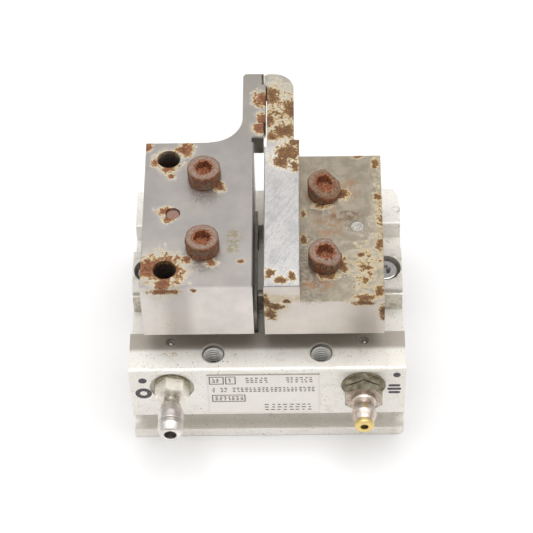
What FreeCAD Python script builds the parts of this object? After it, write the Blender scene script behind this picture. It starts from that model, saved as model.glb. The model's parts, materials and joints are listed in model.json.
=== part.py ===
import FreeCAD, Part
import math
import os

# Pneumatic two-finger parallel gripper, low flat body, rack-and-pinion drive.
# Millimetres. +Z up. Origin: centre of the body's flat base.
# -Y is the side with the air ports. The fingers slide along X and are shown closed.
# "Front" is -Y, "rear" is +Y, "left" is -X and "right" is +X.

V = FreeCAD.Vector

# ---------------------------------------------------------------- driving dimensions
BODY_W = 37.0            # along X
BODY_D = 32.0            # along Y
BODY_H = 14.9
RECESS_HALF = 9.4        # half width of the recess that crosses the body
RECESS_FLOOR = 12.0      # height of the recess floor
TOP_ROUND = 0.6          # rounding of the front top edge
EDGE = 0.3               # other long edges

MOUNT_X = 7.25           # tapped mounting holes
MOUNT_Y = 13.0
MOUNT_R = 1.5            # M3, drawn at the thread's major radius
MOUNT_DEPTH = 6.0
MOUNT_CHAMFER = 0.18

GROOVE_R = 2.0           # switch groove
GROOVE_Y = 15.0
GROOVE_Z = 3.47

PORT_X = 12.85           # air ports
PORT_Z = 11.4
PORT_R = 1.25
SPOT_R = 2.97
SPOT_DEPTH = 0.35
PASSAGE_END = 0.9        # how far short of the vertical drilling a fitting's stem stops
LEFT_HEX_AF = 4.0        # hexagons of the two fittings, across flats
RIGHT_HEX_AF = 5.0
LEFT_HEX_L = 1.95        # how far they stand out of the front face
RIGHT_HEX_L = 2.45
LEFT_HEX_TURN = 13
RIGHT_HEX_TURN = 30
HEX_GROOVE = 1.2         # from the front face to the thin groove round the right hexagon
BARB_R = 1.72
PASSAGE_X = 12.95        # vertical air drillings closed by balls
PASSAGE_Y = 11.05
PASSAGE_R = 0.4
PASSAGE_BALL_R = 0.56

RAIL_W = 7.0
RAIL_L = 36.8
RAIL_TOP = 16.7
RAIL_SCREW_X = 16.1
COUNTERBORE_R = 2.15
RAIL_HEAD_R = 1.7
BALL_R = 0.6
BALL_Z = 15.8
BALL_Y = 3.65            # line through the balls' centres
BALL_FIT = 0.02          # radial clearance of a ball in its grooves

FINGER_TOP = 18.5
FINGER_INNER = 1.3       # inner end of a finger, from the middle, when closed
FINGER_LENGTH = 13.0
FINGER_HALF = 9.2        # half width along Y
STROKE = 4.0             # travel of each finger

BORE_R = 4.0             # cylinder bores
BORE_Y = 7.2
BORE_Z = 6.0
PISTON_CLEARANCE = 0.05
PISTON_OUTER = 13.3      # far end of a closed piston, from the middle
PISTON_INNER = 9.4       # near end of a closed piston
PISTON_HEAD = 11.3       # inner face of the piston's head
PISTON_TAIL = 7.6        # inner face of its guide land
ROD_R = 3.6
RACK_FROM = -7.6         # flat on the rod that the teeth stand on
RACK_TO = 3.6
MAGNET_SEAT_R = 2.4
SEALS_AT = (-12.7, 8.1)  # where the two seal grooves of a piston start
SEAL_ROOT_R = 3.0
SEAL_W = 0.8
CAP_INNER = 13.5         # inner face of an end cap
CAP_OUTER = 17.3
CAP_SPIGOT_L = 0.7       # narrower inner end of a cap
CAP_SPIGOT_R = 3.4
CAP_GROOVE = (15.0, 16.0)
CAP_GROOVE_R = 3.1
BUMPER_R = 2.2
BUMPER_T = 0.5
SNAP_GROOVE_L = 0.7
SNAP_GROOVE_R = 4.35
SNAP_PLAY = 0.05

MODULE = 0.4             # rack and pinion
TEETH = 22
PRESSURE = math.radians(20)
BACKLASH = 0.05
PINION_LOW = 4.5
PINION_HIGH = 7.5
PINION_BORE_R = 1.05
PIN_R = 1.0
PIN_TOP = 10.7
PIN_BOTTOM = 2.0
CHAMBER_R = 5.05
PLUG_R = 5.4
PLUG_T = 1.2

LUG_X = 2.6              # middle of a drive lug when closed
LUG_L = 1.8
LUG_W = 2.2
LUG_LOW = 8.6
LUG_HIGH = 13.3
SLOT_PLAY = 0.3

JAW_SCREW_X_LEFT = 8.2
JAW_SCREW_X_RIGHT = 7.9
JAW_SCREW_Y = 6.1
SCREW_R = 1.25           # M2.5
HEAD_R = 2.25
HEAD_H = 2.35
SOCKET_AF = 2.0
SCREW_IN_FINGER = 4.2
JAW_EDGE = 0.12          # chamfer of the jaws' edges
TIP_TOP = 28.6           # top of both tips, the left jaw and the right jaw's rib
TIP_T = 3.3              # thickness of the tips
RIGHT_BLOCK_TOP = 25.5   # top of the right jaw's low block
TIP_END = 25.6
DOWEL_X = 12.3
DOWEL_R = 1.0
TOOL_HOLE_X = 13.1       # open holes of the left jaw
TOOL_HOLE_Y = 9.67
TOOL_HOLE_R = 1.55
SCREW_HOLE_R = 1.35      # jaw screws pass through these
LABEL_X = (-8.15, 7.0)
LABEL_Z = (5.5, 14.15)
LABEL_T = 0.08

SHOULDER_Z = RAIL_TOP + 0.3      # roof of a finger's channel
CHANNEL_HALF = RAIL_W / 2 + 0.3
PITCH_R = MODULE * TEETH / 2
HALF_W = BODY_W / 2
FRONT = -BODY_D / 2


# ---------------------------------------------------------------- small tools
def box(x0, x1, y0, y1, z0, z1):
    return Part.makeBox(x1 - x0, y1 - y0, z1 - z0, V(x0, y0, z0))


def rod_x(r, x0, x1, y, z):
    return Part.makeCylinder(r, x1 - x0, V(x0, y, z), V(1, 0, 0))


def rod_y(r, x, y0, y1, z):
    return Part.makeCylinder(r, y1 - y0, V(x, y0, z), V(0, 1, 0))


def rod_z(r, x, y, z0, z1):
    return Part.makeCylinder(r, z1 - z0, V(x, y, z0), V(0, 0, 1))


def prism(points, z0, z1):
    """Upright prism over a closed outline of (x, y) points."""
    outline = Part.makePolygon([V(x, y, z0) for x, y in points + points[:1]])
    return Part.Face(outline).extrude(V(0, 0, z1 - z0))


def hexagon_z(across_flats, x, y, z0, z1, turn=0.0):
    corner = across_flats / math.sqrt(3)
    angles = [math.radians(turn + 60 * k) for k in range(6)]
    return prism([(x + corner * math.cos(a), y + corner * math.sin(a)) for a in angles], z0, z1)


def turned(profile, x, z):
    """Solid of revolution about the port axis at x, z; profile is (y, radius) from front to back."""
    points = [(profile[0][0], 0.0)] + profile + [(profile[-1][0], 0.0)]
    outline = Part.makePolygon([V(x + r, y, z) for y, r in points + points[:1]])
    return Part.Face(outline).revolve(V(x, 0, z), V(0, 1, 0), 360)


def long_edges(shape, y, z):
    """Edges that run along X at the given y and z."""
    found = []
    for edge in shape.Edges:
        a, b = edge.Vertexes[0].Point, edge.Vertexes[-1].Point
        same = max(abs(a.y - y), abs(b.y - y), abs(a.z - z), abs(b.z - z)) < 1e-6
        if same and abs(a.x - b.x) > 0.5:
            found.append(edge)
    return found


def edges_at_height(shape, z):
    """Straight edges that lie at height z."""
    found = []
    for edge in shape.Edges:
        flat = all(abs(v.Z - z) < 1e-6 for v in edge.Vertexes)
        if flat and isinstance(edge.Curve, Part.Line):
            found.append(edge)
    return found


def half_turn(shape):
    """The same shape turned half a turn about the vertical axis."""
    copy = shape.copy()
    copy.rotate(V(0, 0, 0), V(0, 0, 1), 180)
    return copy


def mirrored_x(shape):
    return shape.mirror(V(0, 0, 0), V(1, 0, 0))


def group(shapes):
    return Part.makeCompound(shapes)


# ---------------------------------------------------------------- body
def body():
    shell = box(-HALF_W, HALF_W, FRONT, -FRONT, 0, BODY_H)
    shell = shell.cut(box(-HALF_W, HALF_W, -RECESS_HALF, RECESS_HALF, RECESS_FLOOR, BODY_H))
    shell = shell.makeFillet(TOP_ROUND, long_edges(shell, FRONT, BODY_H))
    shell = shell.makeFillet(EDGE, long_edges(shell, -FRONT, BODY_H))
    for side in (-1, 1):
        shell = shell.makeFillet(EDGE, long_edges(shell, side * RECESS_HALF, BODY_H))
        shell = shell.makeChamfer(EDGE / 2, long_edges(shell, side * FRONT, 0))
    shell = shell.cut(rod_x(GROOVE_R, -HALF_W, HALF_W, -GROOVE_Y, GROOVE_Z))
    shell = shell.cut(worn_corner()).cut(lip_corner())
    for x in (-PORT_X, PORT_X):
        shell = shell.cut(rod_y(SPOT_R, x, FRONT, FRONT + SPOT_DEPTH, PORT_Z))
        shell = shell.cut(rod_y(PORT_R, x, FRONT, -PASSAGE_Y, PORT_Z))
    for x in (-PASSAGE_X, PASSAGE_X):
        shell = shell.cut(rod_z(PASSAGE_R, x, -PASSAGE_Y, BORE_Z, BODY_H))
        shell = shell.cut(rod_z(PASSAGE_BALL_R, x, -PASSAGE_Y, BODY_H - 1.3, BODY_H))
    for x in (-MOUNT_X, MOUNT_X):
        for y in (-MOUNT_Y, MOUNT_Y):
            shell = shell.cut(rod_z(MOUNT_R, x, y, BODY_H - MOUNT_DEPTH, BODY_H))
            shell = shell.cut(countersink(x, y))
    for y in (-BORE_Y, BORE_Y):
        shell = shell.cut(rod_x(BORE_R, -HALF_W, HALF_W, y, BORE_Z))
        for side in (-1, 1):
            near, far = sorted((side * CAP_OUTER, side * (CAP_OUTER + SNAP_GROOVE_L)))
            shell = shell.cut(rod_x(SNAP_GROOVE_R, near, far, y, BORE_Z))
    shell = shell.cut(rod_z(CHAMBER_R, 0, 0, PLUG_T, PINION_HIGH + 0.1))
    shell = shell.cut(rod_z(PLUG_R, 0, 0, 0, PLUG_T))
    shell = shell.cut(rod_z(PIN_R, 0, 0, PINION_HIGH, PIN_TOP))
    slot = box(LUG_X - LUG_L / 2 - SLOT_PLAY, LUG_X + LUG_L / 2 + STROKE + SLOT_PLAY,
               -BORE_Y - LUG_W / 2 - SLOT_PLAY, -BORE_Y + LUG_W / 2 + SLOT_PLAY,
               BORE_Z, RECESS_FLOOR)
    shell = shell.cut(slot).cut(half_turn(slot))
    for x in (-RAIL_SCREW_X, RAIL_SCREW_X):
        shell = shell.cut(rod_z(0.8, x, 0, RECESS_FLOOR - 4, RECESS_FLOOR))
    return shell


def countersink(x, y):
    return Part.makeCone(MOUNT_R, MOUNT_R + MOUNT_CHAMFER, MOUNT_CHAMFER,
                         V(x, y, BODY_H - MOUNT_CHAMFER), V(0, 0, 1))


def worn_corner():
    """What the long rounding of the rear right corner takes away."""
    rear, outside = -FRONT, HALF_W + 1
    start = V(HALF_W - 0.9, rear, 0)
    end = V(HALF_W, rear - 4.2, 0)
    edges = [Part.Arc(start, V(HALF_W - 0.28, rear - 1.5, 0), end).toShape()]
    points = [end, V(outside, end.y, 0), V(outside, rear + 1, 0), V(start.x, rear + 1, 0), start]
    edges += [Part.LineSegment(a, b).toShape() for a, b in zip(points, points[1:])]
    return Part.Face(Part.Wire(edges)).extrude(V(0, 0, BODY_H))


def lip_corner():
    """What the rounding of the lip's right corner, below the switch groove, takes away."""
    r = 1.0
    top = GROOVE_Z - 1.0
    corner = box(HALF_W - r, HALF_W, FRONT, FRONT + r, 0, top)
    return corner.cut(rod_z(r, HALF_W - r, FRONT + r, 0, top))


def base_plug():
    disc = rod_z(PLUG_R - 0.02, 0, 0, 0, PLUG_T)
    boss = rod_z(2.2, 0, 0, PLUG_T, PINION_LOW - 0.1)
    return disc.fuse(boss).cut(rod_z(PIN_R, 0, 0, PIN_BOTTOM, PINION_LOW))


# ---------------------------------------------------------------- guide rail
def guide_rail():
    rail = box(-RAIL_L / 2, RAIL_L / 2, -RAIL_W / 2, RAIL_W / 2, RECESS_FLOOR, RAIL_TOP)
    for side in (-1, 1):
        rail = rail.makeChamfer(0.15, long_edges(rail, side * RAIL_W / 2, RAIL_TOP))
        rail = rail.cut(rod_x(BALL_R + BALL_FIT, -RAIL_L / 2, RAIL_L / 2, side * BALL_Y, BALL_Z))
        x = side * RAIL_SCREW_X
        rail = rail.cut(rod_z(COUNTERBORE_R, x, 0, RAIL_TOP - 2.2, RAIL_TOP))
        rail = rail.cut(rod_z(1.1, x, 0, RECESS_FLOOR, RAIL_TOP))
    return rail


def cap_screw(x, y, seat, head_r, head_h, shank_r, shank_l, socket):
    """Socket cap screw, head above the seat and shank below it."""
    head = rod_z(head_r, x, y, seat, seat + head_h)
    head = head.makeFillet(0.22, [e for e in head.Edges if abs(e.Vertexes[0].Z - seat - head_h) < 1e-6
                                  and not isinstance(e.Curve, Part.Line)])
    head = head.cut(hexagon_z(socket, x, y, seat + head_h * 0.45, seat + head_h + 1, 15))
    return head.fuse(rod_z(shank_r, x, y, seat - shank_l, seat))


def rail_screws():
    seat = RAIL_TOP - 2.2
    return group([cap_screw(x, 0, seat, RAIL_HEAD_R, 1.8, 0.78, 5.5, 1.5)
                  for x in (-RAIL_SCREW_X, RAIL_SCREW_X)])


# ---------------------------------------------------------------- fingers
def finger_section():
    """Right finger without its screw holes."""
    x0, x1 = FINGER_INNER, FINGER_INNER + FINGER_LENGTH
    block = box(x0, x1, -FINGER_HALF, FINGER_HALF, RECESS_FLOOR + 0.3, FINGER_TOP)
    for side in (-1, 1):
        block = block.makeChamfer(0.3, long_edges(block, side * FINGER_HALF, FINGER_TOP))
    block = block.cut(box(x0, x1, -CHANNEL_HALF, CHANNEL_HALF, RECESS_FLOOR, SHOULDER_Z))
    for side in (-1, 1):
        block = block.cut(rod_x(BALL_R + BALL_FIT, x0, x1, side * BALL_Y, BALL_Z))
    for plate in retainer_plates():
        block = block.cut(plate)
    return block


def retainer_plates():
    """Four plates let into the ends of the right finger, two at each end."""
    x0, x1 = FINGER_INNER, FINGER_INNER + FINGER_LENGTH
    plates = []
    for low, high in ((x0, x0 + 0.8), (x1 - 0.8, x1)):
        for side in (-1, 1):
            near, far = sorted((side * CHANNEL_HALF, side * (CHANNEL_HALF + 2.6)))
            plates.append(box(low, high, near, far, 14.2, 16.9))
    return plates


def lug():
    return box(LUG_X - LUG_L / 2, LUG_X + LUG_L / 2,
               -BORE_Y - LUG_W / 2, -BORE_Y + LUG_W / 2, LUG_LOW, LUG_HIGH)


def finger(side, screw_x):
    """side 1 is the right finger, driven by the front piston; -1 is the left, by the rear one."""
    block = finger_section().cut(lug())
    if side < 0:
        block = half_turn(block)
    for y in (-JAW_SCREW_Y, JAW_SCREW_Y):
        block = block.cut(rod_z(SCREW_R + 0.02, side * screw_x, y, FINGER_TOP - 4.6, FINGER_TOP))
    return block


def ball_rows():
    first = FINGER_INNER + 0.8 + BALL_R + 0.1
    pitch = 2 * BALL_R + 0.04
    return group([Part.makeSphere(BALL_R, V(first + k * pitch, side * BALL_Y, BALL_Z))
                  for side in (-1, 1) for k in range(9)])


# ---------------------------------------------------------------- pistons, rack and pinion
def piston():
    """Front piston, closed."""
    r = BORE_R - PISTON_CLEARANCE
    parts = [
        rod_x(r, -PISTON_OUTER, -PISTON_HEAD, -BORE_Y, BORE_Z),
        rod_x(MAGNET_SEAT_R, -PISTON_HEAD, -PISTON_INNER, -BORE_Y, BORE_Z),
        rod_x(ROD_R, -PISTON_INNER, PISTON_TAIL, -BORE_Y, BORE_Z),
        rod_x(r, PISTON_TAIL, PISTON_INNER, -BORE_Y, BORE_Z),
    ]
    solid = parts[0].multiFuse(parts[1:])
    for low in SEALS_AT:
        solid = solid.cut(ring_x(BORE_R + 1, SEAL_ROOT_R, low, low + SEAL_W))
    root = -PITCH_R - 1.25 * MODULE
    solid = solid.cut(box(RACK_FROM, RACK_TO, root, 0, BORE_Z - BORE_R, BORE_Z + BORE_R))
    solid = solid.cut(lug())
    teeth = [rack_tooth(k * math.pi * MODULE) for k in range(-5, 3)]
    return solid.multiFuse(teeth)


def ring_x(outer, inner, x0, x1):
    return rod_x(outer, x0, x1, -BORE_Y, BORE_Z).cut(rod_x(inner, x0, x1, -BORE_Y, BORE_Z))


def rack_tooth(x):
    """One straight-sided tooth; its tip faces the pinion."""
    root, tip = -PITCH_R - 1.25 * MODULE, -PITCH_R + MODULE
    half = math.pi * MODULE / 4 - BACKLASH / 2
    wide = half + (-PITCH_R - root) * math.tan(PRESSURE)
    narrow = half - (tip + PITCH_R) * math.tan(PRESSURE)
    outline = [(x - wide, root - 0.05), (x - wide, root), (x - narrow, tip),
               (x + narrow, tip), (x + wide, root), (x + wide, root - 0.05)]
    return prism(outline, PINION_LOW + 0.1, PINION_HIGH - 0.1)


def involute_angle(r):
    """Polar angle of an involute at radius r, from where it leaves the base circle."""
    base = PITCH_R * math.cos(PRESSURE)
    if r <= base:
        return 0.0
    slope = math.sqrt((r / base) ** 2 - 1)
    return slope - math.atan(slope)


def pinion():
    tip = PITCH_R + MODULE
    root = PITCH_R - 1.25 * MODULE
    thick = math.pi * MODULE / 2 - BACKLASH
    half_at_pitch = thick / 2 / PITCH_R
    steps = 5
    points = []
    for k in range(TEETH):
        middle = 2 * math.pi * k / TEETH
        radii = [root + (tip - root) * i / steps for i in range(steps + 1)]
        halves = [half_at_pitch + involute_angle(PITCH_R) - involute_angle(r) for r in radii]
        for r, half in zip(radii, halves):
            points.append((r * math.cos(middle - half), r * math.sin(middle - half)))
        for r, half in reversed(list(zip(radii, halves))):
            points.append((r * math.cos(middle + half), r * math.sin(middle + half)))
    wheel = prism(points, PINION_LOW, PINION_HIGH)
    return wheel.cut(rod_z(PINION_BORE_R, 0, 0, PINION_LOW, PINION_HIGH))


def piston_seals():
    return group([ring_x(BORE_R - 0.02, SEAL_ROOT_R, low, low + SEAL_W) for low in SEALS_AT])


# ---------------------------------------------------------------- bore ends
def at_four_ends(maker):
    """The shape made for the front bore's right end, repeated at all four bore ends."""
    front_right = maker()
    front_left = mirrored_x(front_right)
    return group([front_right, front_left, half_turn(front_right), half_turn(front_left)])


def end_cap():
    spigot = CAP_INNER + CAP_SPIGOT_L
    cap = rod_x(BORE_R - 0.02, spigot, CAP_OUTER, -BORE_Y, BORE_Z)
    cap = cap.fuse(rod_x(CAP_SPIGOT_R, CAP_INNER, spigot, -BORE_Y, BORE_Z))
    cap = cap.cut(rod_x(BUMPER_R, CAP_INNER, CAP_INNER + BUMPER_T, -BORE_Y, BORE_Z))
    cap = cap.cut(ring_x(BORE_R + 1, CAP_GROOVE_R, *CAP_GROOVE))
    return cap.cut(rod_x(1.0, CAP_OUTER - 0.8, CAP_OUTER, -BORE_Y, BORE_Z))


def cap_seal():
    return ring_x(BORE_R - 0.02, CAP_GROOVE_R, *CAP_GROOVE)


def bumper():
    return rod_x(BUMPER_R - 0.02, CAP_INNER, CAP_INNER + BUMPER_T, -BORE_Y, BORE_Z)


def snap_ring():
    """Open ring with two eyes for pliers; the opening faces down."""
    x0, x1 = CAP_OUTER + SNAP_PLAY, CAP_OUTER + SNAP_GROOVE_L - SNAP_PLAY
    half_gap, eye_r, hole_r = 0.9, 0.7, 0.35
    eye_z = BORE_Z - 2.95
    ring = ring_x(SNAP_GROOVE_R - SNAP_PLAY, 3.3, x0, x1)
    ring = ring.cut(box(x0, x1, -BORE_Y - half_gap, -BORE_Y + half_gap, BORE_Z - 6, BORE_Z))
    for side in (-1, 1):
        y = -BORE_Y + side * (half_gap + 0.45)
        ring = ring.fuse(rod_x(eye_r, x0, x1, y, eye_z)).cut(rod_x(hole_r, x0, x1, y, eye_z))
    return ring


# ---------------------------------------------------------------- port fittings
def hex_on_port(across_flats, x, y0, y1, turn):
    nut = hexagon_z(across_flats, 0, 0, y0, y1, turn)
    nut.rotate(V(0, 0, 0), V(1, 0, 0), -90)
    nut.translate(V(x, 0, PORT_Z))
    return nut.common(turned([(y0, across_flats / 2 - 0.05), (y0 + 0.22, across_flats / 2 + 0.22),
                              (y0 + 0.35, across_flats), (y1, across_flats)], x, PORT_Z))


def stem(x):
    """The part of a fitting that sits in its port."""
    return rod_y(PORT_R - 0.03, x, FRONT, -PASSAGE_Y - PASSAGE_END, PORT_Z)


def port_fitting_left():
    """Barb fitting: hexagon, neck, one wide barrel-shaped barb with a rounded mouth."""
    x = -PORT_X
    hex_front = FRONT - LEFT_HEX_L
    mouth, neck_r, bore_r = -23.85, 1.08, 0.85
    barb = [(mouth, 1.2), (-23.74, 1.38), (-23.4, 1.55), (-22.7, BARB_R), (-20.8, BARB_R),
            (-20.2, 1.64), (-19.4, 1.38), (-18.75, neck_r), (hex_front, neck_r)]
    solid = turned(barb, x, PORT_Z)
    solid = solid.fuse(hex_on_port(LEFT_HEX_AF, x, hex_front, FRONT, LEFT_HEX_TURN)).fuse(stem(x))
    return solid.cut(rod_y(bore_r, x, mouth, -19, PORT_Z)).cut(rod_y(0.6, x, mouth, -10, PORT_Z))


def port_fitting_right():
    """Nipple: grooved hexagon, collar, waist, round bulge and a flanged tip."""
    x = PORT_X
    hex_front, groove = FRONT - RIGHT_HEX_L, FRONT - HEX_GROOVE
    end, flange_r, collar_r = -22.87, 1.31, 1.69
    profile = [(end, 1.12), (-22.8, 1.25), (-22.65, flange_r), (-22.27, flange_r), (-22.05, 1.2),
               (-21.7, 1.35), (-21.3, 1.56), (-20.87, 1.65), (-20.45, 1.59), (-20.0, 1.45),
               (-19.65, 1.36), (-19.35, 1.4), (-19.05, 1.6), (-18.8, collar_r), (hex_front, collar_r)]
    solid = turned(profile, x, PORT_Z)
    solid = solid.fuse(hex_on_port(RIGHT_HEX_AF, x, hex_front, groove - 0.1, RIGHT_HEX_TURN))
    solid = solid.fuse(rod_y(RIGHT_HEX_AF / 2 - 0.12, x, groove - 0.1, groove, PORT_Z))
    solid = solid.fuse(hex_on_port(RIGHT_HEX_AF, x, groove, FRONT, RIGHT_HEX_TURN)).fuse(stem(x))
    return solid.cut(rod_y(0.54, x, end, -10, PORT_Z))


def fitting_gaskets():
    y1 = FRONT + SPOT_DEPTH
    return group([rod_y(r, x, FRONT, y1, PORT_Z).cut(rod_y(PORT_R, x, FRONT, y1, PORT_Z))
                  for x, r in ((-PORT_X, 2.45), (PORT_X, 2.9))])


# ---------------------------------------------------------------- jaws
def soften(shape, z_levels):
    """Chamfers the straight edges at the given heights."""
    for z in z_levels:
        shape = shape.makeChamfer(JAW_EDGE, edges_at_height(shape, z))
    return shape


def tip_outline(inset):
    """Outline of the left jaw's arm and tip; inset draws in the edges that are softened."""
    arm_x, bend, rear, inner, nub_end = -3.2, 4.4, 12.75, -1.93, 16.2
    gap, face = -0.32 - inset, -0.05 - inset
    end = TIP_END - inset
    return [(arm_x - bend, rear - 2), (inner, rear - 2), (inner, 13.6 + inset), (gap, 13.6 + inset),
            (gap, nub_end), (face, nub_end + 0.35), (face, end), (arm_x + inset + 0.3, end),
            (arm_x + inset, end - 0.4), (arm_x + inset, rear + bend), (arm_x - bend, rear + bend)]


def jaw_left():
    """Block with a slim tip that reaches past the rear of the body."""
    outer, inner, front, rear = -16.3, -1.63, -12.65, 12.75
    arm_x, bend = -3.2, 4.4
    block = box(outer, inner, front, rear, FINGER_TOP, TIP_TOP)
    block = soften(block, (TIP_TOP, FINGER_TOP))
    plate = prism(tip_outline(0.0), TIP_TOP - TIP_T, TIP_TOP - JAW_EDGE)
    plate = plate.fuse(prism(tip_outline(0.1), TIP_TOP - JAW_EDGE, TIP_TOP))
    plate = plate.cut(rod_z(bend, arm_x - bend, rear + bend, TIP_TOP - 2 * TIP_T, TIP_TOP))
    jaw = block.fuse(plate)
    for depth, start, end in ((0.64, 23.4, 25.35), (0.33, 25.35, TIP_END)):
        jaw = jaw.cut(box(-depth, 0, start, end, FINGER_TOP, TIP_TOP))
    for y in (-TOOL_HOLE_Y, TOOL_HOLE_Y):
        jaw = jaw.cut(rod_z(TOOL_HOLE_R, -TOOL_HOLE_X, y, FINGER_TOP, TIP_TOP))
    for y in (-JAW_SCREW_Y, JAW_SCREW_Y):
        jaw = jaw.cut(rod_z(SCREW_HOLE_R, -JAW_SCREW_X_LEFT, y, FINGER_TOP, TIP_TOP))
    return jaw.cut(rod_z(DOWEL_R, -DOWEL_X, 0, FINGER_TOP, TIP_TOP))


def jaw_right():
    """Low block with a tall rib on its inner side; the rib ends in a slim tip."""
    inner, rib, outer, front = -0.18, 4.55, 15.65, -12.75
    low = box(rib - 0.5, outer, front, 12.8, FINGER_TOP, RIGHT_BLOCK_TOP)
    low = soften(low, (RIGHT_BLOCK_TOP, FINGER_TOP))
    tall = box(inner, rib, front, 11.85, FINGER_TOP, TIP_TOP)
    tall = soften(tall, (TIP_TOP, FINGER_TOP))
    tail = box(0.15, rib, 11.0, 13.1, FINGER_TOP + JAW_EDGE, TIP_TOP - JAW_EDGE)
    jaw = low.multiFuse([tall, tail, right_tip(0.0, TIP_TOP - TIP_T, TIP_TOP - JAW_EDGE),
                         right_tip(0.1, TIP_TOP - JAW_EDGE, TIP_TOP)])
    for y in (-JAW_SCREW_Y, JAW_SCREW_Y):
        jaw = jaw.cut(rod_z(SCREW_HOLE_R, JAW_SCREW_X_RIGHT, y, FINGER_TOP, RIGHT_BLOCK_TOP))
    return jaw.cut(rod_z(DOWEL_R, DOWEL_X, 0, FINGER_TOP, RIGHT_BLOCK_TOP))


def right_tip(inset, z0, z1):
    """Layer of the right tip; inset draws its outline in."""
    side, end, r = 3.82 - inset, TIP_END - 0.05 - inset, 2.8
    inner = 0.15 + inset
    middle = math.sqrt(0.5)
    corner_start = V(side, end - r, z0)
    corner_mid = V(side - r + r * middle, end - r + r * middle, z0)
    corner_end = V(side - r, end, z0)
    points = [corner_end, V(inner, end, z0), V(-0.25 + inset, end - 0.4, z0),
              V(-0.25 + inset, 23.6 + inset, z0), V(inner, 23.2 + inset, z0), V(inner, 11.5, z0),
              V(4.5 - inset, 11.5, z0), V(4.5 - inset, 13.1 - inset, z0),
              V(side + 0.05, 13.1 - inset, z0), V(side, 13.9, z0), corner_start]
    edges = [Part.LineSegment(a, b).toShape() for a, b in zip(points, points[1:])]
    edges.append(Part.Arc(corner_start, corner_mid, corner_end).toShape())
    return Part.Face(Part.Wire(edges)).extrude(V(0, 0, z1 - z0))


def jaw_screw(x, y, seat):
    shank = seat - FINGER_TOP + SCREW_IN_FINGER
    return cap_screw(x, y, seat, HEAD_R, HEAD_H, SCREW_R, shank, SOCKET_AF)


# ---------------------------------------------------------------- label
def label_plate():
    return box(*LABEL_X, FRONT - LABEL_T, FRONT, *LABEL_Z)


# ---------------------------------------------------------------- all the nodes
def nodes():
    balls = ball_rows()
    made = {
        "body": body(),
        "base_plug": base_plug(),
        "guide_rail": guide_rail(),
        "rail_screws": rail_screws(),
        "finger_left": finger(-1, JAW_SCREW_X_LEFT),
        "finger_right": finger(1, JAW_SCREW_X_RIGHT),
        "ball_rows_left": half_turn(balls),
        "ball_rows_right": balls,
        "ball_retainers_left": half_turn(group(cut_retainers())),
        "ball_retainers_right": group(cut_retainers()),
        "drive_lug_left": half_turn(lug()),
        "drive_lug_right": lug(),
        "piston_front": piston(),
        "piston_rear": half_turn(piston()),
        "piston_seals_front": piston_seals(),
        "piston_seals_rear": half_turn(piston_seals()),
        "piston_magnet": ring_x(3.7, MAGNET_SEAT_R, 0.2 - PISTON_HEAD, -0.2 - PISTON_INNER),
        "pinion": pinion(),
        "pinion_pin": rod_z(PIN_R - 0.01, 0, 0, PIN_BOTTOM, PIN_TOP),
        "end_caps": at_four_ends(end_cap),
        "cap_seals": at_four_ends(cap_seal),
        "bumpers": at_four_ends(bumper),
        "snap_rings": at_four_ends(snap_ring),
        "passage_balls": group([Part.makeSphere(PASSAGE_BALL_R - 0.01,
                                                V(x, -PASSAGE_Y, BODY_H - 0.72))
                                for x in (-PASSAGE_X, PASSAGE_X)]),
        "port_fitting_left": port_fitting_left(),
        "port_fitting_right": port_fitting_right(),
        "fitting_gaskets": fitting_gaskets(),
        "jaw_left": jaw_left(),
        "jaw_right": jaw_right(),
        "dowel_left": rod_z(DOWEL_R - 0.01, -DOWEL_X, 0, FINGER_TOP, TIP_TOP - 0.3),
        "dowel_right": rod_z(DOWEL_R - 0.01, DOWEL_X, 0, FINGER_TOP, RIGHT_BLOCK_TOP - 0.03),
        "label_plate": label_plate(),
    }
    for name, y in (("front", -JAW_SCREW_Y), ("rear", JAW_SCREW_Y)):
        made["jaw_screw_left_" + name] = jaw_screw(-JAW_SCREW_X_LEFT, y, TIP_TOP)
        made["jaw_screw_right_" + name] = jaw_screw(JAW_SCREW_X_RIGHT, y, RIGHT_BLOCK_TOP)
    return made


def cut_retainers():
    """Retainer plates with the ball groove running through them."""
    x0, x1 = FINGER_INNER, FINGER_INNER + FINGER_LENGTH
    plates = []
    for plate in retainer_plates():
        for side in (-1, 1):
            plate = plate.cut(rod_x(BALL_R - 0.1, x0, x1, side * BALL_Y, BALL_Z))
        plates.append(plate)
    return plates


def main():
    os.makedirs("parts", exist_ok=True)
    for name, shape in nodes().items():
        solids = shape.Solids
        valid = all(s.isValid() for s in solids)
        print(name, len(solids), "solids", round(sum(s.Volume for s in solids), 3), "valid", valid)
        shape.exportStep("parts/" + name + ".step")


main()
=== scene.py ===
import json
import math
import random

import bmesh
import bpy
from mathutils import Matrix, Vector, noise


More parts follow.
